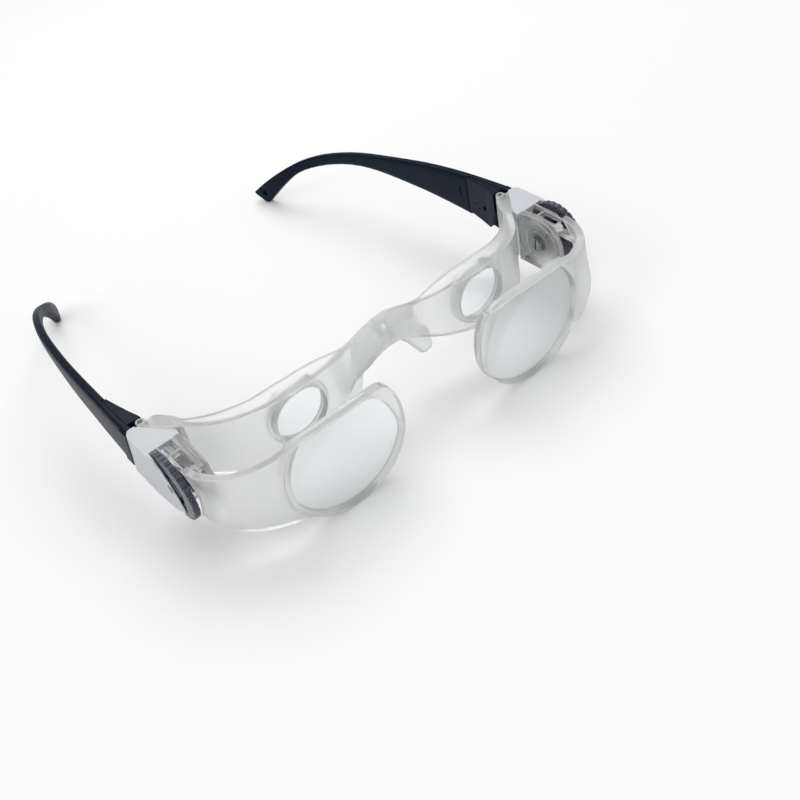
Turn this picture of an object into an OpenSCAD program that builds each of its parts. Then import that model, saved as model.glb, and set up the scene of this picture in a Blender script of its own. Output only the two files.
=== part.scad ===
// Binocular glasses: a pair of low-power Galilean telescopes on a spectacle frame.
// A rear frame with bridge carries the small eye lenses and, at each side, a
// housing with a ribbed focusing wheel. Each wheel drives a rack that slides a
// front carrier with its large objective lens. The temples fold inwards.
// Millimetres. X points to the wearer's left, Y from the lenses back to the
// temple tips, Z up. Everything is drawn level, along the optical axes, for the
// wearer's left side, and mirrored for the right. The whole is then tipped so
// that lens rims and temple tips stand on the plane Z = 0.

/* [Optics] */
// Distance between the two optical axes
pupil_distance = 64.3; // [64:0.1:64.6]
// Radius of the objective lenses
objective_r = 17.7; // [17.5:0.1:17.8]
// Height of the flat cut of the objective above the centre of the rim
objective_flat = 12; // [11.8:0.1:12]
// Drop of the objective centre below the centre of the rim
objective_drop = 0.55; // [0.4:0.05:0.6]
// Radius of the eye lenses
ocular_r = 8; // [7.6:0.1:8]
// Height of the eye lens centre above the objective centre
ocular_lift = 0.4; // [0.2:0.1:0.5]

/* [Front carrier] */
// Outer radius of the rim around the objective
rim_r = 18.8; // [18.7:0.05:18.9]
// Depth of the rim
rim_depth = 3.2; // [3:0.1:3.6]
// Thickness of the curved side plate
plate_t = 2.2; // [1.8:0.1:2.2]

/* [Rear frame] */
// Thickness of the frame wall
wall_t = 2.2; // [2:0.1:2.4]
// Thickness of the top band
band_t = 1.4; // [1.2:0.1:1.5]

/* [Focusing drive] */
// Radius of the thumbwheel over its ribs
wheel_r = 9.9; // [9.7:0.1:10]
// Number of ribs on the thumbwheel
wheel_ribs = 26; // [22:1:28]
// Module of the pinion and rack
gear_module = 0.6; // [0.6:0.1:0.6]
// Radius of the wheel axle
axle_r = 1.2; // [1.1:0.05:1.3]

/* [Temples] */
// Thickness of the temple at the hinge
temple_t = 3.6; // [3.4:0.1:3.6]
// Radius of the cord hole in the temple tip
cord_hole_r = 1.1; // [0.9:0.1:1.2]
// Radius of the hinge pin
pin_r = 0.7; // [0.7:0.05:0.9]

/* [Hidden] */
$fn = 64;
cx = pupil_distance / 2;
rim_x = 32.5;

// colours as seen
frost = [0.80, 0.82, 0.83];
lilac = [0.72, 0.74, 0.77];
clear = [0.86, 0.89, 0.90];
glass = [0.70, 0.76, 0.80];
ink = [0.10, 0.14, 0.19];
smoke = [0.30, 0.31, 0.36];
steel = [0.66, 0.67, 0.69];

// wheel axis, drive and hinge positions (left side, level)
wy = 26.2;
wz = -1.6;
teeth = 12;
rp = gear_module * teeth / 2;
pa = 25;
hx = 65.5;
hy = 46.4;
knuckle_r = 1.4;

// temple: upper edge, lower edge (x in the middle of the arm), half thickness
TU = [[69.3, 45.9, 5.6], [69.25, 50.3, 5.3], [69.1, 56, 4.8], [68.8, 65, 4], [68.4, 75.5, 2.7], [67.8, 86.5, 1],
      [67.1, 96, -0.8], [66.1, 106, -2.7], [65, 115.5, -4.5], [63.5, 125, -6.6], [61.4, 134.5, -9.2], [59.2, 142.5, -12],
      [56.4, 150, -15.4], [53.4, 156, -19], [50.8, 162, -23.2], [48.8, 168, -27.8], [47, 174.2, -33]];
TL = [[69.2, 52.2, -11.4], [69.15, 54.9, -11.1], [69, 58.7, -10.8], [68.8, 65.5, -10.4], [68.4, 75, -9.9], [67.9, 85.5, -9.6],
      [67.2, 95, -9.5], [66.3, 104.7, -9.4], [65.2, 114.4, -9.7], [63.7, 124, -10.9], [61.8, 133.2, -13.1],
      [59.8, 140.9, -15.7], [57.2, 148, -18.7], [54.6, 153.3, -22], [51.9, 158.5, -26.9], [50, 163.5, -32], [48.6, 167.8, -36.4]];
TT = [1, 1, 0.98, 0.94, 0.9, 0.86, 0.83, 0.8, 0.78, 0.78, 0.78, 0.78, 0.78, 0.8, 0.84, 0.88, 0.88];

// tip the level drawing back so that it stands on the rims and the temple tips
pitch = atan((36.38 - rim_r) / 167.6);
lift = rim_r * cos(pitch);
module stand() translate([0, -87.6, lift]) rotate([pitch, 0, 0]) children();
module left() stand() children();
module right() stand() mirror([1, 0, 0]) children();

// ---------------------------------------------------------------- helpers
// extrude a front view (x,z) along y from y0 to y1
module along_y(y0, y1) translate([0, y1, 0]) rotate([90, 0, 0]) linear_extrude(y1 - y0) children();
// extrude a side view (y,z) along x from x0 to x1
module along_x(x0, x1) translate([x0, 0, 0]) rotate([90, 0, 90]) linear_extrude(x1 - x0) children();
module cyl_y(x, z, r, y0, y1) translate([x, y1, z]) rotate([90, 0, 0]) cylinder(r = r, h = y1 - y0);
module cyl_x(y, z, r, x0, x1) translate([x0, y, z]) rotate([0, 90, 0]) cylinder(r = r, h = x1 - x0);
module cyl_z(x, y, r, z0, z1) translate([x, y, z0]) cylinder(r = r, h = z1 - z0);
function rev(l) = [for (i = [len(l) - 1:-1:0]) l[i]];
// smooth curve through the points, n steps between neighbours
function bend(a, b, c, d, t) = (2 * b + (c - a) * t + (2 * a - 5 * b + 4 * c - d) * t * t + (3 * b - a - 3 * c + d) * t * t * t) / 2;
function smooth(l, n) = concat([for (i = [0:len(l) - 2]) for (k = [0:n - 1])
    bend(l[max(i - 1, 0)], l[i], l[i + 1], l[min(i + 2, len(l) - 1)], k / n)], [l[len(l) - 1]]);
// plan direction of a path at point i, and its left-hand normal times d
function along(l, i) = let (a = l[max(i - 1, 0)], b = l[min(i + 1, len(l) - 1)], v = [b[0] - a[0], b[1] - a[1]]) v / norm(v);
function aside(l, i, d) = let (v = along(l, i)) [-v[1] * d, v[0] * d];

// ---------------------------------------------------------------- rear frame
// plan (x,y): front face of bridge and wall, back edge of the top band
FN = [[0, 20.2], [4, 20.3], [7, 20.8], [9, 21.7], [10.6, 22.9], [11.8, 23.7], [13, 23.6], [14.5, 23]];
FW = smooth([[14.5, 23], [17.4, 21.9], [20.6, 21], [27, 19.7], [34, 19.2], [40.4, 19.9], [45.5, 21.8], [50, 24.2], [54, 27.6],
    [57.3, 31.6], [59.6, 34.9]], 2);
F = concat(FN, [for (i = [1:len(FW) - 1]) FW[i]]);
// inside of the wall, one wall thickness behind the front face
W = concat([[14.5, 25.7]], [for (i = [3:len(FW) - 1]) [FW[i][0], FW[i][1]] + aside(FW, i, wall_t)]);
N = [[11, 25.9], [6, 25.6], [0, 25.4]];
B = concat(rev(N), smooth([[14.5, 25.7], [19.2, 26.2], [25.7, 26.4], [32.3, 26], [40, 26.1], [44, 26.9], [47, 28.4],
    [50, 30], [53.8, 32.9], [57.6, 36.6]], 2));
// front view (x,z): upper and lower edge
T = [[0, 10.9], [2, 10.8], [4.5, 10.2], [7, 9.3], [9.8, 8.2], [12, 7.6], [15, 7.7], [19, 8.3], [23, 8.8], [27, 9.2], [34, 9.7],
     [40, 9.7], [45, 9.3], [50, 8.5], [55, 7.6], [60, 6.8]];
L = [[0, 1.6], [3, 1.3], [5.5, 0.2], [8, -1.8], [11, -4], [15, -6], [20, -7.8], [25, -9], [30, -9.8], [36, -10.2],
     [44, -10.4], [52, -10.6], [60, -10.8]];
module frame_half() {
    // wall
    intersection() {
        translate([0, 0, -15]) linear_extrude(30)
            polygon(concat(F, rev(W), N));
        along_y(10, 45) polygon(concat(T, rev(L)));
    }
    // top band
    intersection() {
        translate([0, 0, -15]) linear_extrude(30) polygon(concat(F, rev(B)));
        along_y(10, 45) polygon(concat([for (p = T) if (p[0] >= 12) p],
            rev([for (p = T) if (p[0] >= 12) [p[0], p[1] - band_t]])));
    }
    // end block that carries the hinge lug and closes the housing
    intersection() {
        translate([0, 0, -10.8]) linear_extrude(20)
            polygon([W[len(W) - 1], [59.6, 34.9], [61.2, 35.7], [65.2, 39], [67.3, 42.2], [67.7, 42.6], [67.7, 44.6],
                [62.4, 44.6], [60.9, 43.2], [58.7, 39.6], [57.6, 36.6]]);
        along_y(30, 50) polygon([[50, -10.8], [70, -10.8], [70, 6.3], [66, 6.5], [62, 6.8], [59.6, 7], [57, 7.3], [50, 8.4]]);
    }
    // two hinge lugs with rounded ends
    for (z = [[-4.8, -1.8], [1.8, 5.5]]) difference() {
        union() {
            cyl_z(hx, hy, knuckle_r, z[0], z[1]);
            translate([hx - knuckle_r, 43.5, z[0]]) cube([2 * knuckle_r, hy - 43.5, z[1] - z[0]]);
        }
        cyl_z(hx, hy, pin_r + 0.04, z[0] - 1, z[1] + 1);
    }
    // bezel behind the wall around the eye lens
    difference() {
        cyl_y(cx, ocular_lift, ocular_r + 1.2, 20.6, 23.8);
        cyl_y(cx, ocular_lift, ocular_r + 0.1, 20, 25);
        translate([cx - 20, 15, 8.3]) cube([40, 15, 10]);
    }
}
module frame_cuts() difference() {
    // seat of the eye lens through the wall, up to the band
    union() {
        cyl_y(cx, ocular_lift, ocular_r + 0.1, 15, 22.8);
        cyl_y(cx, ocular_lift, ocular_r - 0.5, 22, 26);
    }
    translate([cx - 20, 10, 8.2]) cube([40, 20, 10]);
}
module rear_frame() color(frost) stand() difference() {
    union() {
        frame_half();
        mirror([1, 0, 0]) frame_half();
    }
    // the top plates of the housings lie on the front half of the end blocks
    for (s = [0, 1]) mirror([s, 0, 0]) translate([0, 0, 4.65]) linear_extrude(8)
        polygon([[60, 35], [67.43, 44.7], [68, 44.7], [68, 38], [62, 33.5]]);
    // blind holes in the top of the end blocks
    for (s = [-1, 1]) cyl_z(s * 64.7, 43.4, 0.45, 5.4, 8);
    frame_cuts();
    mirror([1, 0, 0]) frame_cuts();
    // socket of the nose pad
    cyl_y(0, 5.4, 1.6, 23.4, 30);
}

// ---------------------------------------------------------------- nose pad
module nose_pad() color(clear) stand() {
    // stations of the pad: two centres side by side
    P = [[0, 27.7, 4.2], [5.2, 27.5, 0.6], [9.6, 26.8, -4], [12.7, 25.4, -9.3]];
    Q = [[0, 27.7, 4.2], [6.4, 27.6, 0.4], [14.2, 27, -5.2], [13.9, 25.5, -9.1]];
    R = [2.2, 2.2, 2, 1.9];
    for (s = [0, 1]) mirror([s, 0, 0]) difference() {
        for (i = [0:2]) hull() for (k = [i, i + 1]) {
            translate(P[k]) sphere(r = R[k], $fn = 28);
            translate(Q[k]) sphere(r = R[k], $fn = 28);
        }
        // the frame passes in front
        along_y(10, 26.1) polygon([[-5, 12], [-5, 1.5], [0, 1.5], [3, 1.2], [5.5, 0.1], [8, -1.9], [11, -4.1], [15, -6.1],
            [20, -7.9], [20, 12]]);
    }
    cyl_y(0, 5.4, 1.5, 24, 28.6);
}

// ---------------------------------------------------------------- lenses
// eye lens: hollow-faced disc, its top cut flat under the band
module ocular() color(glass) {
    difference() {
        cyl_y(cx, ocular_lift, ocular_r, 19.8, 22.7);
        translate([cx - 20, 10, 8.1]) cube([40, 20, 10]);
        translate([cx, 19.8 - 30 + 1.0, ocular_lift]) sphere(r = 30, $fn = 96);
    }
}
module ocular_lens_right() right() ocular();
module ocular_lens_left() left() ocular();

// rounded upper nose corner of the objective; d moves it into the lens
E = smooth([[24.6, 12], [22.6, 11.6], [20.8, 10.4], [19, 8.1], [17.4, 5], [16.1, 1.2], [15.2, -2.6], [14.9, -5.4]], 2);
module corner(d) translate([d, 0, -d]) along_y(-3, 8) polygon(concat(E, [[10, -5.4], [10, 14], [24.6, 14]]));
// objective: plano-convex disc with the top cut flat
module objective() color(glass) {
    difference() {
        intersection() {
            cyl_y(cx, -objective_drop, objective_r - 0.1, -1.6, 2.3);
            translate([cx, 50.8, -objective_drop]) sphere(r = 52, $fn = 128);
        }
        translate([cx - 25, -5, objective_flat - 0.1]) cube([50, 12, 10]);
        corner(0.1);
    }
}
module objective_lens_right() right() objective();
module objective_lens_left() left() objective();

// ---------------------------------------------------------------- front carrier
// side plate: upper and lower edge of its outer face, from the rim round to the thumbwheel
CT = smooth([[45.5, 0, 12.6], [48.5, 0.2, 12.4], [51.6, 1.3, 11.2], [55, 3.4, 9.7], [58.6, 5.5, 8.9], [61.7, 7.6, 8.4],
    [64, 10.1, 8.1], [65.9, 13.2, 7.8], [67.2, 16.6, 7.4], [68.1, 21.6, 7.2]], 3);
CB = smooth([[45.5, 0, -13], [48.5, 0, -11.4], [51.2, 0.5, -11.1], [54, 1.8, -11.2], [57, 3.4, -11.1], [60, 5, -10.4],
    [62.8, 6.8, -9.3], [65.2, 9, -7.9], [67.2, 12.2, -6.6], [68.5, 18.2, -5.7]], 3);
rack_z = wz + rp;
function plate_station(i) = let (a = CT[i], b = CB[i], na = aside(CT, i, plate_t), nb = aside(CB, i, plate_t))
    [a, b, [b[0] + nb[0], b[1] + nb[1], b[2]], [a[0] + na[0], a[1] + na[1], a[2]]];
module side_plate() {
    n = len(CT);
    polyhedron(points = [for (i = [0:n - 1]) each plate_station(i)], faces = concat([[0, 1, 2, 3]],
        [for (i = [0:n - 2]) for (k = [0:3]) let (a = 4 * i + k, b = 4 * i + (k + 1) % 4) [a, b + 4, b]],
        [for (i = [0:n - 2]) for (k = [0:3]) let (a = 4 * i + k, b = 4 * i + (k + 1) % 4) [a, a + 4, b + 4]],
        [[4 * n - 1, 4 * n - 2, 4 * n - 3], [4 * n - 1, 4 * n - 3, 4 * n - 4]]), convexity = 6);
}
module carrier() color(frost) {
    difference() {
        union() {
            // rim
            difference() {
                cyl_y(rim_x, 0, rim_r, 0, rim_depth);
                translate([cx - 25, -5, objective_flat + 0.6]) cube([50, 15, 10]);
            }
            // flat top bar with its rounded nose end
            along_y(0, rim_depth) polygon(concat([[14.3, -4.6], [13.75, -0.5], [13.8, 2.5], [14.2, 5.2], [14.9, 7.9], [16, 10.3],
                [17.4, 11.8], [19.2, 12.5], [20.4, 12.6], [47, 12.6], [47, 6], [44, 6], [44, 11.9]], E));
            side_plate();
            // web between the rim and the plate
            along_y(0, plate_t) polygon([[44, 12.6], [47.6, 12.5], [48.6, 12.3], [48.6, -11.3], [46.6, -12.4], [44, -14.6]]);
        }
        // lens seat and clear aperture
        difference() {
            cyl_y(cx, -objective_drop, objective_r, -1, 2.4);
            translate([cx - 25, -5, objective_flat]) cube([50, 15, 10]);
            corner(0);
        }
        difference() {
            cyl_y(cx, -objective_drop, objective_r - 0.4, -1, 6);
            translate([cx - 25, -5, objective_flat - 0.35]) cube([50, 15, 10]);
            corner(0.3);
        }
        // the end of the plate follows the thumbwheel
        cyl_x(wy, wz, wheel_r + 0.4, 60, 75);
    }
    // rack arm
    translate([63.4, 12.6, rack_z + 0.72]) cube([2.3, 23.9, 1.58]);
    along_x(63.4, 65.7) polygon(concat([[20.6, rack_z + 1.2], [20.6, rack_z + 0.72]],
        [for (i = [-3:4]) for (q = [[-1, 1], [-1, -1], [1, -1], [1, 1]])
            let (c = wy + (i + 0.5) * PI * gear_module, h = q[1] > 0 ? 0.72 : -0.51)
            [c + q[0] * (PI * gear_module / 4 - 0.05 + h * tan(pa)), rack_z + h]],
        [[36.5, rack_z + 0.72], [36.5, rack_z + 1.2]]));
}
module front_carrier_right() right() carrier();
module front_carrier_left() left() carrier();

// ---------------------------------------------------------------- focusing wheel
// involute tooth outline
rb = rp * cos(pa);
ra = rp + 0.9 * gear_module;
rf = rp - 1.2 * gear_module;
function inv(a) = tan(a) - a * PI / 180;
function roll(r) = acos(rb / r);
// half angle (degrees) of the tooth at radius r, thinned for backlash
function half(r) = 180 / PI * ((PI * gear_module / 4 - 0.05) / rp + inv(pa) - inv(roll(max(r, rb + 0.0001))));
function pinion_points() = [for (i = [0:teeth - 1]) for (k = [0:9])
    let (up = k < 5, j = up ? k : 9 - k, r = j == 0 ? rf : rb + 0.02 + (ra - rb - 0.02) * (j - 1) / 3,
         a = 90 + i * 360 / teeth + (up ? -1 : 1) * half(r)) r * [cos(a), sin(a)]];
module wheel() {
    rib = 360 / wheel_ribs;
    color(smoke) difference() {
        union() {
            along_x(68.1, 69.9) translate([wy, wz]) polygon([for (i = [0:wheel_ribs - 1])
                for (q = [[-0.43, -0.32], [-0.36, 0], [0, 0.1], [0.36, 0], [0.43, -0.32]])
                (wheel_r + q[1]) * [cos((i + q[0]) * rib), sin((i + q[0]) * rib)]]);
            cyl_x(wy, wz, 2.6, 65.9, 68.2);
            along_x(63.15, 66.0) translate([wy, wz]) polygon(pinion_points());
        }
        cyl_x(wy, wz, axle_r + 0.05, 60, 75);
        // dished outer face
        difference() {
            cyl_x(wy, wz, 5.2, 69.5, 71);
            cyl_x(wy, wz, 3.2, 69.4, 72);
        }
    }
}
module focus_wheel_right() right() wheel();
module focus_wheel_left() left() wheel();

// axle screw: slotted head outside the cover, plain shank through the wheel
module axle() color(steel) difference() {
    union() {
        cyl_x(wy, wz, 2.1, 60, 60.9);
        cyl_x(wy, wz, axle_r, 60.8, 70.6);
    }
    translate([59.8, wy - 0.25, wz - 3]) cube([0.5, 0.5, 6]);
}
module wheel_axle_right() right() axle();
module wheel_axle_left() left() axle();

// friction ring between cover and pinion
module friction() color(ink) difference() {
    cyl_x(wy, wz, 2.6, 62.4, 63);
    cyl_x(wy, wz, axle_r + 0.05, 60, 65);
}
module friction_ring_right() right() friction();
module friction_ring_left() left() friction();

// ---------------------------------------------------------------- side housing
// side view (y,z) of the outer wall
module outer_side() polygon([[33, 6.3], [30, 5.4], [27.4, 3.6], [25.4, 0.6], [24, -2.6], [22.9, -5.6], [22.2, -8],
    [22.8, -9.4], [24.6, -10.2], [30.6, -11.2], [36, -11.8], [51.8, -11.8], [45.2, 6.3]]);
module housing() color(lilac) {
    difference() {
        union() {
            // outer wall
            along_x(70.1, 71.1) outer_side();
            // rear wing, flush with the temple
            along_x(67.7, 71.1) polygon([[42.6, 6.3], [42.6, -11.8], [51.8, -11.8], [45.2, 6.3]]);
            // top plate
            translate([0, 0, 4.7]) linear_extrude(1.6)
                polygon([[62.4, 19], [64.3, 18.4], [65.2, 20.4], [65.2, 21.6], [67.1, 21.6], [67.1, 22.5], [71.1, 33],
                    [71.1, 44.7], [67.7, 44.6], [67.4, 44.56], [60.5, 35.58], [60.5, 33.6], [62.4, 33.6]]);
            // bottom plate
            translate([0, 0, -11.8]) linear_extrude(1.2)
                polygon([[62.4, 28], [71.1, 28], [71.1, 47], [67.7, 47], [67.7, 42.6], [67.3, 42.2], [65.2, 39], [62.4, 36.6]]);
            // posts for the cover screws
            cyl_x(21.5, 3.2, 1.4, 62.4, 63.2);
            translate([62.4, 20.3, 3.2]) cube([0.8, 2.4, 2]);
            cyl_x(31.2, -9, 1.7, 62.4, 66.4);
            translate([62.4, 29.6, -10.9]) cube([4, 3.2, 2]);
        }
        // slot for the thumbwheel, through the top, the front and the bottom
        translate([67.85, 10, 4]) cube([2.25, 23.4, 4]);
        translate([67.85, 20, -13]) cube([2.25, 11.6, 4]);
        cyl_x(wy, wz, wheel_r + 0.4, 67.85, 70.1);
        // windows over the rack
        translate([63.4, 21, 4]) cube([3.1, 7, 4]);
        translate([63.4, 28.8, 4]) cube([3.8, 4.6, 4]);
        // blind bore for the axle
        cyl_x(wy, wz, axle_r + 0.02, 69, 70.65);
        // bores for the cover screws
        cyl_x(31.2, -9, 0.55, 60, 66);
        cyl_x(21.5, 3.2, 0.55, 60, 64);
        // the outer wall turns inwards at the lower front
        translate([71.1, 33, 6.3]) rotate(a = 3.75, v = [0, 5, -18.1]) translate([0, -40, -40]) cube([6, 80, 80]);
    }
}
module side_housing_right() right() housing();
module side_housing_left() left() housing();

// inner cover of the housing with stepped rings around the axle
module cover() color(clear) {
    difference() {
        along_x(60.9, 62.4) polygon([[33.6, 6.3], [31.2, 6.7], [28.6, 7.6], [26.2, 7.9], [23.7, 7.6], [21.4, 6.6], [19.4, 5.1],
            [17.9, 3.1], [17, 0.8], [16.7, -1.6], [16.9, -4], [17.7, -6.2], [19.4, -8.4], [22, -10.1], [25, -10.9],
            [34.6, -10.9], [34.6, 4.6], [33.6, 4.6]]);
        cyl_x(wy, wz, axle_r + 0.05, 60, 63);
        for (r = [4.6, 7.8]) difference() {
            cyl_x(wy, wz, r + 0.35, 60, 61.4);
            cyl_x(wy, wz, r - 0.35, 59, 62);
        }
        cyl_x(31.2, -9, 0.6, 60, 63);
        cyl_x(21.5, 3.2, 0.6, 60, 63);
    }
}
module housing_cover_right() right() cover();
module housing_cover_left() left() cover();

module cover_screw_pair() color(steel) for (p = [[21.5, 3.2, 63.1], [31.2, -9, 65.4]]) difference() {
    union() {
        cyl_x(p[0], p[1], 0.8, 60.4, 60.9);
        cyl_x(p[0], p[1], 0.5, 60.8, p[2]);
    }
    translate([60.3, p[0] - 0.15, p[1] - 2]) cube([0.3, 0.3, 4]);
}
module cover_screws_right() right() cover_screw_pair();
module cover_screws_left() left() cover_screw_pair();

// ---------------------------------------------------------------- temples
// one station of the arm: rounded section between the upper and lower edge
NS = 16;
SU = smooth(TU, 2);
SL = smooth(TL, 2);
ST = smooth(TT, 2);
function sec(i) = let (u = SU[i], l = SL[i], m = (u + l) / 2, h = (u - l) / 2, t = ST[i] * temple_t / 2)
    [for (k = [0:NS - 1]) let (a = 360 * k / NS + 180 / NS, c = cos(a), s = sin(a),
        ex = sign(c) * pow(abs(c), 0.42) * 1.01, ez = sign(s) * pow(abs(s), 0.5) * 1.01)
        m + h * ez + [t * ex, 0, 0]];
module arm_body() {
    n = len(SU);
    polyhedron(points = [for (i = [0:n - 1]) each sec(i)], faces = concat(
        [[for (k = [0:NS - 1]) k]],
        [for (i = [0:n - 2]) for (k = [0:NS - 1]) let (a = i * NS + k, b = i * NS + (k + 1) % NS) [a, a + NS, b + NS]],
        [for (i = [0:n - 2]) for (k = [0:NS - 1]) let (a = i * NS + k, b = i * NS + (k + 1) % NS) [a, b + NS, b]],
        [[for (k = [NS - 1:-1:0]) (n - 1) * NS + k]]), convexity = 6);
}
screws = [[54.8, -3.2], [60.8, -3.2]];
module arm() color(ink) difference() {
    arm_body();
    // recess of the hinge block on the inside
    translate([60, 40, -20]) cube([8.4, 24.5, 40]);
    // cord hole across the tip
    translate([48.4, 168.4, -31.9]) rotate([0, 0, 20]) rotate([0, 90, 0]) cylinder(r = cord_hole_r, h = 12, center = true);
    // curved mark behind the block
    intersection() {
        cyl_x(64.6, -2, 3.5, 66, 67.55);
        translate([60, 66.9, -3.8]) cube([10, 4, 3.6]);
        difference() {
            cyl_x(64.6, -2, 3.6, 60, 70);
            cyl_x(64.6, -2, 2.9, 59, 71);
        }
    }
    // screw holes for the hinge block
    for (p = screws) cyl_x(p[0], p[1], 0.6, 66, 70.3);
}
module temple_arm_right() right() arm();
module temple_arm_left() left() arm();

// hinge insert: a knuckle and a block screwed into the recess of the arm
module insert() color(ink) difference() {
    union() {
        cyl_z(hx, hy, knuckle_r, -1.5, 1.5);
        translate([hx - 0.4, hy, -1.5]) cube([2.2, 5, 3]);
        // block, level with the top of the arm and thicker towards the hinge
        intersection() {
            along_x(63, 68.4) polygon([[48.6, 5.1], [48.6, -1.6], [52.4, -9.2], [64.2, -8.8], [64.2, 3.7], [56, 4.6]]);
            translate([0, 0, -12]) linear_extrude(20)
                polygon([[68.4, 48.6], [68.4, 64.2], [67.2, 64.2], [66.8, 61.5], [66.2, 57.5], [65.5, 53.5], [64.9, 51],
                    [64.4, 48.6]]);
        }
    }
    cyl_z(hx, hy, pin_r + 0.01, -6, 6);
    for (p = screws) {
        cyl_x(p[0], p[1], 0.85, 62, 67.4);
        cyl_x(p[0], p[1], 0.5, 64, 70);
    }
}
module hinge_insert_right() right() insert();
module hinge_insert_left() left() insert();

module pin() color(steel) cyl_z(hx, hy, pin_r, -4.7, 5.4);
module hinge_pin_right() right() pin();
module hinge_pin_left() left() pin();

module leaf_screws() color(steel) for (p = screws) difference() {
    union() {
        cyl_x(p[0], p[1], 0.8, 66.9, 67.4);
        cyl_x(p[0], p[1], 0.45, 67.3, 70.2);
    }
    translate([66.8, p[0] - 0.12, p[1] - 2]) cube([0.35, 0.24, 4]);
}
module hinge_screws_right() right() leaf_screws();
module hinge_screws_left() left() leaf_screws();

rear_frame();
nose_pad();
ocular_lens_right();
ocular_lens_left();
side_housing_right();
side_housing_left();
housing_cover_right();
housing_cover_left();
cover_screws_right();
cover_screws_left();
focus_wheel_right();
focus_wheel_left();
wheel_axle_right();
wheel_axle_left();
friction_ring_right();
friction_ring_left();
front_carrier_right();
front_carrier_left();
objective_lens_right();
objective_lens_left();
temple_arm_right();
temple_arm_left();
hinge_insert_right();
hinge_insert_left();
hinge_pin_right();
hinge_pin_left();
hinge_screws_right();
hinge_screws_left();
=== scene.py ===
# Binocular glasses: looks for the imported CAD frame.
# Level measures (mm, wearer's left side) are tipped and mirrored into the row frame by place().
import math
import bmesh
import bpy
import numpy as np
from mathutils import Matrix, Vector
from mathutils.bvhtree import BVHTree


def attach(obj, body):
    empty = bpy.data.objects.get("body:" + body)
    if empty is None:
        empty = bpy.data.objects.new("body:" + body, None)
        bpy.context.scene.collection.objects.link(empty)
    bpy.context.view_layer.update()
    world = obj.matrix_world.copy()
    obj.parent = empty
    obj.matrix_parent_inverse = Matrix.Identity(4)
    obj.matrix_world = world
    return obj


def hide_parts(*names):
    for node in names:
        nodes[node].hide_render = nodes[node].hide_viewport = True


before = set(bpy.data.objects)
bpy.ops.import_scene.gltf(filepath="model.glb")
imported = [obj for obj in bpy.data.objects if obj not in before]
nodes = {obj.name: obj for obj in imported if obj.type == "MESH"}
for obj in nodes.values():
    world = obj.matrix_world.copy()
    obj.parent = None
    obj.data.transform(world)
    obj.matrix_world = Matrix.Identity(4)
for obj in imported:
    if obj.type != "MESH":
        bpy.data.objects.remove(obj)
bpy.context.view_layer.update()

# ------------------------------------------------------------ the tipped frame
RIM_R = 18.8
PITCH = math.atan((36.38 - RIM_R) / 167.6)
LIFT = RIM_R * math.cos(PITCH)
CP, SP = math.cos(PITCH), math.sin(PITCH)


def place(points, side=1):
    """Level millimetres to metres in the row frame; side -1 is the wearer's right."""
    p = np.asarray(points, float).reshape(-1, 3)
    return np.c_[side * p[:, 0], -87.6 + CP * p[:, 1] - SP * p[:, 2],
                 LIFT + SP * p[:, 1] + CP * p[:, 2]] / 1000.0


def level(points, side=1):
    """Metres in the row frame back to level millimetres."""
    p = np.asarray(points, float).reshape(-1, 3) * 1000.0
    y, z = p[:, 1] + 87.6, p[:, 2] - LIFT
    return np.c_[side * p[:, 0], CP * y + SP * z, -SP * y + CP * z]


# ------------------------------------------------------------ mesh helpers
def new_object(name, verts, faces):
    mesh = bpy.data.meshes.new(name)
    mesh.from_pydata([tuple(v) for v in verts], [], [tuple(f) for f in faces])
    mesh.validate()
    mesh.update()
    obj = bpy.data.objects.new(name, mesh)
    bpy.context.scene.collection.objects.link(obj)
    return obj


def apply_all(obj):
    dg = bpy.context.evaluated_depsgraph_get()
    mesh = bpy.data.meshes.new_from_object(obj.evaluated_get(dg), depsgraph=dg)
    old = obj.data
    obj.modifiers.clear()
    obj.data = mesh
    bpy.data.meshes.remove(old)
    return obj


def get_co(mesh):
    co = np.empty(len(mesh.vertices) * 3)
    mesh.vertices.foreach_get("co", co)
    return co.reshape(-1, 3)


def set_co(mesh, co):
    mesh.vertices.foreach_set("co", np.asarray(co, float).ravel())
    mesh.update()


def relax(obj, steps, amount=0.5, keep=None, swell=0.0):
    """Laplacian smoothing; keep is a weight per point, 0 holds it; swell puts back the shrinkage."""
    mesh = obj.data
    co = get_co(mesh)
    e = np.empty(len(mesh.edges) * 2, np.int64)
    mesh.edges.foreach_get("vertices", e)
    e = e.reshape(-1, 2)
    n = len(co)
    deg = np.bincount(e.ravel(), minlength=n).astype(float)
    deg[deg == 0] = 1
    for i in range(steps):
        for w in ((amount, -swell) if swell else (amount,)):
            s = np.stack([np.bincount(e[:, 0], co[e[:, 1], k], n) + np.bincount(e[:, 1], co[e[:, 0], k], n)
                          for k in range(3)], 1) / deg[:, None]
            co = co + (w if keep is None else w * keep[:, None]) * (s - co)
    set_co(mesh, co)


def smooth_shade(obj):
    obj.data.polygons.foreach_set("use_smooth", [True] * len(obj.data.polygons))
    obj.data.update()


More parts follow.
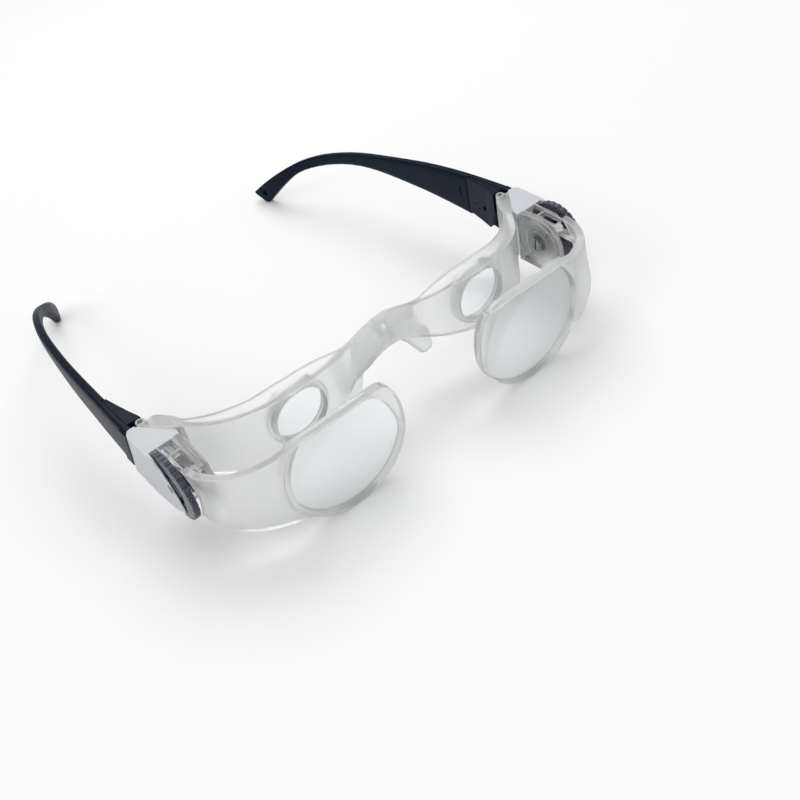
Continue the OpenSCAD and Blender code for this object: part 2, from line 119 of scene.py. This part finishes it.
def rounded(obj, voxel, steps, amount=0.5, snap=0.0):
    """Voxel remesh (mm) of a closed mesh in metres, then relax it so that every edge gets a soft radius.
    Points within snap (mm) of the first surface go back onto it, which keeps its flats flat."""
    set_co(obj.data, get_co(obj.data) * 1000)
    first = BVHTree.FromPolygons([v.co.copy() for v in obj.data.vertices],
                                 [tuple(f.vertices) for f in obj.data.polygons]) if snap else None
    m = obj.modifiers.new("remesh", "REMESH")
    m.mode = "VOXEL"
    m.voxel_size = voxel
    m.adaptivity = 0
    apply_all(obj)
    relax(obj, steps, amount, swell=amount * 1.04)
    if snap:
        co = get_co(obj.data)
        for i in range(len(co)):
            q, _, _, d = first.find_nearest(co[i])
            if q is not None and d < snap:
                w = 1 - (d / snap) ** 2
                co[i] += w * (np.array(q) - co[i])
        set_co(obj.data, co)
        relax(obj, 2, 0.35)
    set_co(obj.data, get_co(obj.data) / 1000)
    smooth_shade(obj)
    return obj


def mark_edges(obj, gain=1.0, spread=2):
    """Point attribute "edge": 1 on convex edges, 0 on flat and hollow places; the frosted materials paint a highlight
    along it.
    """
    mesh = obj.data
    co = get_co(mesh) * 1000
    e = np.empty(len(mesh.edges) * 2, np.int64)
    mesh.edges.foreach_get("vertices", e)
    e = e.reshape(-1, 2)
    n = len(co)
    deg = np.bincount(e.ravel(), minlength=n).astype(float)
    deg[deg == 0] = 1
    nrm = np.empty(n * 3)
    mesh.vertices.foreach_get("normal", nrm)
    nrm = nrm.reshape(-1, 3)

    def average(a):
        return (np.bincount(e[:, 0], a[e[:, 1]], n) + np.bincount(e[:, 1], a[e[:, 0]], n)) / deg

    lap = np.stack([average(co[:, k]) for k in range(3)], 1) - co
    step = np.linalg.norm(co[e[:, 0]] - co[e[:, 1]], axis=1).mean()
    bend = -(lap * nrm).sum(1) / (step * step)
    w = np.clip(bend * gain, 0, 1)
    for _ in range(spread):
        w = 0.5 * w + 0.5 * average(w)
    a = mesh.attributes.new("edge", "FLOAT", "POINT")
    a.data.foreach_set("value", w.astype(np.float32))


def prism(points, axis, low, high, side=1):
    """Closed prism in level millimetres: points are the two other coordinates in order, axis 0, 1 or 2."""
    n = len(points)
    verts = []
    for c in (low, high):
        for a, b in points:
            v = [a, b]
            v.insert(axis, c)
            verts.append(v)
    faces = [tuple(range(n))[::-1], tuple(range(n, 2 * n))]
    faces += [(i, (i + 1) % n, (i + 1) % n + n, i + n) for i in range(n)]
    obj = new_object("cutter", place(verts, side), faces)
    bm = bmesh.new()
    bm.from_mesh(obj.data)
    bmesh.ops.recalc_face_normals(bm, faces=bm.faces)
    bm.to_mesh(obj.data)
    bm.free()
    return obj


def slanted(points, side, low=-15.0, high=9.0):
    """Prism along the slanting rear edge of the housing: plan points at z 6.3, moved back as z falls."""
    obj = prism(points, 2, low, high, side)
    p = level(get_co(obj.data), side)
    p[:, 1] -= (p[:, 2] - 6.3) * 6.6 / 18.1
    set_co(obj.data, place(p, side))
    return obj


def combine(obj, other, operation):
    """Boolean with another closed mesh, which is used up. Works in millimetres for a steady tolerance."""
    for o in (obj, other):
        set_co(o.data, get_co(o.data) * 1000)
    m = obj.modifiers.new("cut", "BOOLEAN")
    m.object = other
    m.operation = operation
    m.solver = "EXACT"
    apply_all(obj)
    old = other.data
    bpy.data.objects.remove(other)
    bpy.data.meshes.remove(old)
    set_co(obj.data, get_co(obj.data) / 1000)
    return obj


def smoothstep(a, b, x):
    t = np.clip((x - a) / (b - a), 0, 1)
    return t * t * (3 - 2 * t)


def from_node(node, name):
    mesh = nodes[node].data.copy()
    mesh.materials.clear()
    obj = bpy.data.objects.new(name, mesh)
    bpy.context.scene.collection.objects.link(obj)
    bm = bmesh.new()
    bm.from_mesh(mesh)
    bmesh.ops.remove_doubles(bm, verts=bm.verts, dist=1e-6)
    bm.to_mesh(mesh)
    bm.free()
    return obj


def give(obj, material):
    obj.data.materials.clear()
    obj.data.materials.append(material)


def stand_for(obj, node, body, material):
    give(obj, material)
    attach(obj, body)
    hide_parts(node)


# ------------------------------------------------------------ materials
def base_material(name):
    m = bpy.data.materials.new(name)
    m.use_nodes = True
    t = m.node_tree
    b = t.nodes["Principled BSDF"]
    return m, t, b


def noise(t, scale, detail=4.0, rough=0.5, stretch=None):
    tc = t.nodes.new("ShaderNodeTexCoord")
    n = t.nodes.new("ShaderNodeTexNoise")
    n.inputs["Scale"].default_value = scale
    n.inputs["Detail"].default_value = detail
    n.inputs["Roughness"].default_value = rough
    if stretch:
        mp = t.nodes.new("ShaderNodeMapping")
        mp.inputs["Scale"].default_value = stretch
        t.links.new(tc.outputs["Object"], mp.inputs["Vector"])
        t.links.new(mp.outputs["Vector"], n.inputs["Vector"])
    else:
        t.links.new(tc.outputs["Object"], n.inputs["Vector"])
    return n


def ramp(t, source, stops):
    r = t.nodes.new("ShaderNodeValToRGB")
    while len(r.color_ramp.elements) < len(stops):
        r.color_ramp.elements.new(0.5)
    for e, (p, c) in zip(r.color_ramp.elements, stops):
        e.position = p
        e.color = c if len(c) == 4 else (*c, 1)
    t.links.new(source, r.inputs["Fac"])
    return r


def to_range(t, source, low, high):
    r = t.nodes.new("ShaderNodeMapRange")
    r.inputs["To Min"].default_value = low
    r.inputs["To Max"].default_value = high
    t.links.new(source, r.inputs["Value"])
    return r


def bump(t, b, height, strength, distance):
    n = t.nodes.new("ShaderNodeBump")
    n.inputs["Strength"].default_value = strength
    n.inputs["Distance"].default_value = distance
    t.links.new(height, n.inputs["Height"])
    t.links.new(n.outputs["Normal"], b.inputs["Normal"])
    return n


def frosted(name, body, painted_edge_light, rough, transmission, ior=1.46, grain=1500, grain_strength=0.12, edge_highlight_cut=0.45):
    """Frosted see-through plastic: cloudy body, with a painted highlight along its convex edges (point attribute
    "edge"): whiter colour and less transmission there.
    """
    m, t, b = base_material(name)
    cloud = noise(t, 45, 3)
    col = ramp(t, cloud.outputs["Fac"], [(0.3, body[0]), (0.7, body[1])])
    edge = t.nodes.new("ShaderNodeAttribute")
    edge.attribute_name = "edge"
    # painted highlight: the edge attribute mixes a lighter colour into the base colour along convex edges
    mix = t.nodes.new("ShaderNodeMix")
    mix.data_type = "RGBA"
    t.links.new(edge.outputs["Fac"], mix.inputs["Factor"])
    t.links.new(col.outputs["Color"], mix.inputs["A"])
    mix.inputs["B"].default_value = (*painted_edge_light, 1)
    t.links.new(mix.outputs["Result"], b.inputs["Base Color"])
    g = noise(t, grain, 2)
    r = to_range(t, g.outputs["Fac"], rough[0], rough[1])
    t.links.new(r.outputs["Result"], b.inputs["Roughness"])
    # painted highlight: transmission drops along the same edges, so they read whiter
    tr = to_range(t, edge.outputs["Fac"], transmission, transmission * (1 - edge_highlight_cut))
    t.links.new(tr.outputs["Result"], b.inputs["Transmission Weight"])
    b.inputs["IOR"].default_value = ior
    bump(t, b, g.outputs["Fac"], grain_strength, 0.00004)
    return m


def plastic(name, colour_a, colour_b, rough, transmission, ior=1.5, grain=1800, grain_strength=0.15, coat=0.0):
    """Moulded plastic: slightly clouded colour, uneven gloss and a fine grain."""
    m, t, b = base_material(name)
    cloud = noise(t, 60, 3)
    col = ramp(t, cloud.outputs["Fac"], [(0.35, colour_a), (0.65, colour_b)])
    t.links.new(col.outputs["Color"], b.inputs["Base Color"])
    g = noise(t, grain, 2)
    r = to_range(t, g.outputs["Fac"], rough[0], rough[1])
    t.links.new(r.outputs["Result"], b.inputs["Roughness"])
    b.inputs["Transmission Weight"].default_value = transmission
    b.inputs["IOR"].default_value = ior
    b.inputs["Coat Weight"].default_value = coat
    b.inputs["Coat Roughness"].default_value = 0.12
    bump(t, b, g.outputs["Fac"], grain_strength, 0.00005)
    return m


# the third colour given to each frosted material is the painted highlight along its edges
PAINTED_EDGE_WHITE = (0.96, 0.965, 0.96)
frost = frosted("frosted_plastic", ((0.92, 0.93, 0.925), (0.965, 0.97, 0.965)), PAINTED_EDGE_WHITE, (0.29, 0.38), 0.9,
                grain_strength=0.06)
lilac = frosted("grey_plastic", ((0.70, 0.715, 0.76), (0.76, 0.775, 0.81)), (0.88, 0.89, 0.91), (0.36, 0.46), 0.30)
clear = frosted("clear_plastic", ((0.91, 0.925, 0.92), (0.95, 0.955, 0.95)), PAINTED_EDGE_WHITE, (0.27, 0.36), 0.87, 1.42,
                grain_strength=0.04)
pad = frosted("clear_pad", ((0.90, 0.915, 0.915), (0.94, 0.95, 0.945)), PAINTED_EDGE_WHITE, (0.30, 0.40), 0.85, 1.42,
              grain_strength=0.06)
smoke = frosted("smoked_plastic", ((0.040, 0.043, 0.064), (0.060, 0.064, 0.090)), (0.12, 0.125, 0.165), (0.22, 0.32), 0.30,
                1.46)
ink = plastic("dark_plastic", (0.0018, 0.0062, 0.0150), (0.0026, 0.0080, 0.0190), (0.36, 0.44), 0.0, 1.5,
              grain_strength=0.04)
for socket, value in (("Specular IOR Level", 0.02), ("Coat Weight", 0.15), ("Coat Roughness", 0.2)):
    ink.node_tree.nodes["Principled BSDF"].inputs[socket].default_value = value
black = plastic("black_rubber", (0.02, 0.02, 0.022), (0.03, 0.03, 0.032), (0.6, 0.75), 0.0)


def lens_material():
    m, t, b = base_material("lens_plastic")
    cloud = noise(t, 40, 2)
    col = ramp(t, cloud.outputs["Fac"], [(0.3, (0.93, 0.955, 0.965)), (0.7, (0.955, 0.97, 0.975))])
    t.links.new(col.outputs["Color"], b.inputs["Base Color"])
    b.inputs["Transmission Weight"].default_value = 1.0
    b.inputs["IOR"].default_value = 1.38
    g = noise(t, 300, 2)
    r = to_range(t, g.outputs["Fac"], 0.0, 0.02)
    t.links.new(r.outputs["Result"], b.inputs["Roughness"])
    return m


def steel_material(name, dark, light, rough):
    m, t, b = base_material(name)
    cloud = noise(t, 900, 3)
    col = ramp(t, cloud.outputs["Fac"], [(0.3, dark), (0.7, light)])
    t.links.new(col.outputs["Color"], b.inputs["Base Color"])
    b.inputs["Metallic"].default_value = 1.0
    g = noise(t, 3000, 2, stretch=(1, 1, 12))
    r = to_range(t, g.outputs["Fac"], rough[0], rough[1])
    t.links.new(r.outputs["Result"], b.inputs["Roughness"])
    bump(t, b, g.outputs["Fac"], 0.15, 0.00003)
    return m


lens = lens_material()
ground = frosted("lens_ground_edge", ((0.86, 0.88, 0.88), (0.92, 0.93, 0.93)), PAINTED_EDGE_WHITE, (0.45, 0.55), 0.45, 1.46)
steel = steel_material("screw_steel", (0.24, 0.25, 0.26), (0.36, 0.37, 0.385), (0.32, 0.5))
pin_steel = steel_material("pin_steel", (0.05, 0.05, 0.055), (0.09, 0.09, 0.095), (0.3, 0.45))

# ------------------------------------------------------------ shapes
SIDES = (("left", 1), ("right", -1))



def frosted_shell(obj, voxel, steps, gain=0.8, spread=2, snap=0.08):
    rounded(obj, voxel, steps, snap=snap)
    mark_edges(obj, gain, spread)
    return obj


# rear frame: the bridge is a rounded bow, so its front falls back towards the upper and lower edge
rear = rounded(from_node("rear_frame", "frame_shell"), 0.19, 4, snap=0.09)
p = level(get_co(rear.data))
x, y, z = np.abs(p[:, 0]), p[:, 1], p[:, 2]
top = np.interp(x, [0, 2, 4.5, 7, 9.8, 12], [10.9, 10.8, 10.2, 9.3, 8.2, 7.6])
low = np.interp(x, [0, 3, 5.5, 8, 11, 15], [1.6, 1.3, 0.2, -1.8, -4, -6])
t = np.clip((z - (top + low) / 2) / ((top - low) / 2), -1, 1)
front = smoothstep(25.4, 20.6, y) * (1 - smoothstep(9.5, 12.5, x))
p[:, 1] += front * np.where(t > 0, 2.9 * np.abs(t) ** 3.2, 1.5 * np.abs(t) ** 3)
set_co(rear.data, place(p))
relax(rear, 8, 0.5, keep=front)
mark_edges(rear, 0.8, 2)
stand_for(rear, "rear_frame", "frame", frost)
nose = frosted_shell(from_node("nose_pad", "nose_saddle"), 0.3, 8, snap=0)
stand_for(nose, "nose_pad", "frame", pad)

for side, k in SIDES:
    o = frosted_shell(from_node("front_carrier_" + side, "carrier_shell_" + side), 0.18, 4)
    stand_for(o, "front_carrier_" + side, "carrier_" + side, frost)
    # side housing: a clear front part in a cool grey body
    box = [(60.0, 15.0), (70.05, 15.0), (70.05, 33.4), (60.0, 33.4)]
    o = combine(from_node("side_housing_" + side, "housing_window_" + side), prism(box, 2, -15, 12, k), "INTERSECT")
    frosted_shell(o, 0.16, 4)
    give(o, clear)
    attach(o, "frame")
    window = o
    o = combine(from_node("side_housing_" + side, "housing_shell_" + side), prism(box, 2, -15, 12, k), "DIFFERENCE")
    combine(o, slanted([(73.0, 42.4), (71.2, 42.9), (70.85, 43.9), (70.2, 44.8), (69.2, 45.5), (67.9, 45.9),
                        (67.5, 48.0), (73.0, 48.0)], k), "DIFFERENCE")
    frosted_shell(o, 0.2, 9, snap=0.05)
    stand_for(o, "side_housing_" + side, "frame", lilac)
    o = frosted_shell(from_node("housing_cover_" + side, "cover_plate_" + side), 0.13, 4)
    stand_for(o, "housing_cover_" + side, "frame", clear)
    o = rounded(from_node("focus_wheel_" + side, "thumbwheel_" + side), 0.13, 3)
    mark_edges(o, 0.8, 1)
    stand_for(o, "focus_wheel_" + side, "wheel_" + side, smoke)
    # the arm reaches round the rounded corner of the housing
    o = combine(from_node("temple_arm_" + side, "temple_shell_" + side),
                slanted([(71.02, 48.5), (71.02, 43.5), (70.75, 44.5), (70.1, 45.4), (69.2, 46.1), (68.5, 46.5),
                         (68.5, 48.5)], k, -10.2, 5.0), "UNION")
    rounded(o, 0.24, 5)
    stand_for(o, "temple_arm_" + side, "temple_" + side, ink)
    for node, body in (("ocular_lens_", "frame"), ("objective_lens_", "carrier_" + side)):
        o = from_node(node + side, node.replace("_lens", "_glass") + side)
        m = o.modifiers.new("bevel", "BEVEL")
        m.width = 0.0002
        m.segments = 2
        m.limit_method = "ANGLE"
        m.angle_limit = math.radians(35)
        apply_all(o)
        smooth_shade(o)
        o.data.set_sharp_from_angle(angle=math.radians(12))
        stand_for(o, node + side, body, lens)
        o.data.materials.append(ground)
        for f in o.data.polygons:
            if abs(CP * f.normal.y + SP * f.normal.z) < 0.35:
                f.material_index = 1
        mark_edges(o, 0.5, 0)
    for node in ("wheel_axle_", "cover_screws_"):
        give(nodes[node + side], steel)
    for node in ("hinge_pin_", "hinge_screws_"):
        give(nodes[node + side], pin_steel)
    give(nodes["friction_ring_" + side], black)
    give(nodes["hinge_insert_" + side], ink)

# ------------------------------------------------------------ camera, floor, light
LEVEL_CAMERA = (-115.763, -166.481, 186.616)
VIEW = Matrix(((0.75801417, -0.6331037, -0.15682545), (-0.52939127, -0.45674402, -0.71493341),
               (0.3809979, 0.62495168, -0.68137802)))
cam_data = bpy.data.cameras.new("camera")
cam_data.sensor_width = 36
cam_data.lens = 47.25
cam_data.clip_start, cam_data.clip_end = 0.01, 10
cam = bpy.data.objects.new("camera", cam_data)
bpy.context.scene.collection.objects.link(cam)
turn = Matrix.Rotation(PITCH, 3, "X") @ VIEW.transposed() @ Matrix.Diagonal((1, -1, -1))
cam.matrix_world = Matrix.Translation(Vector(place([LEVEL_CAMERA])[0])) @ turn.to_4x4()
bpy.context.scene.camera = cam

floor = new_object("floor", [(-3, -3, 0), (3, -3, 0), (3, 3, 0), (-3, 3, 0)], [(0, 1, 2, 3)])
fm, ft, fb = base_material("floor_pale")
fn = noise(ft, 3, 2)
fr = ramp(ft, fn.outputs["Fac"], [(0.3, (0.925, 0.925, 0.925)), (0.7, (0.94, 0.94, 0.94))])
ft.links.new(fr.outputs["Color"], fb.inputs["Base Color"])
fb.inputs["Roughness"].default_value = 0.6
give(floor, fm)


def area(name, where, target, size, power, colour=(1, 1, 1)):
    d = bpy.data.lights.new(name, "AREA")
    d.shape = "RECTANGLE"
    d.size, d.size_y = size
    d.energy = power
    d.color = colour
    o = bpy.data.objects.new(name, d)
    bpy.context.scene.collection.objects.link(o)
    o.location = where
    o.rotation_mode = "QUATERNION"
    o.rotation_quaternion = (Vector(target) - Vector(where)).to_track_quat("-Z", "Y")
    return o


area("key", (0.30, 0.45, 0.80), (0, 0, 0.02), (0.9, 0.7), 4.0)
area("fill", (-0.75, -0.15, 0.55), (0, 0, 0.02), (0.5, 0.5), 1.6)
area("front", (0.3, -0.8, 0.45), (0, 0, 0.02), (0.6, 0.35), 1.0)
world = bpy.data.worlds.new("studio")
bpy.context.scene.world = world
world.use_nodes = True
wt = world.node_tree
bg = wt.nodes["Background"]
wc = wt.nodes.new("ShaderNodeTexCoord")
sep = wt.nodes.new("ShaderNodeSeparateXYZ")
wt.links.new(wc.outputs["Generated"], sep.inputs["Vector"])
wr = ramp(wt, sep.outputs["Z"], [(0.0, (0.80, 0.805, 0.81)), (0.12, (0.66, 0.665, 0.67)), (0.4, (0.46, 0.465, 0.475)),
                                (0.9, (1.0, 1.0, 1.0))])
wt.links.new(wr.outputs["Color"], bg.inputs["Color"])
bg.inputs["Strength"].default_value = 0.80
bpy.context.scene.view_settings.view_transform = "Standard"
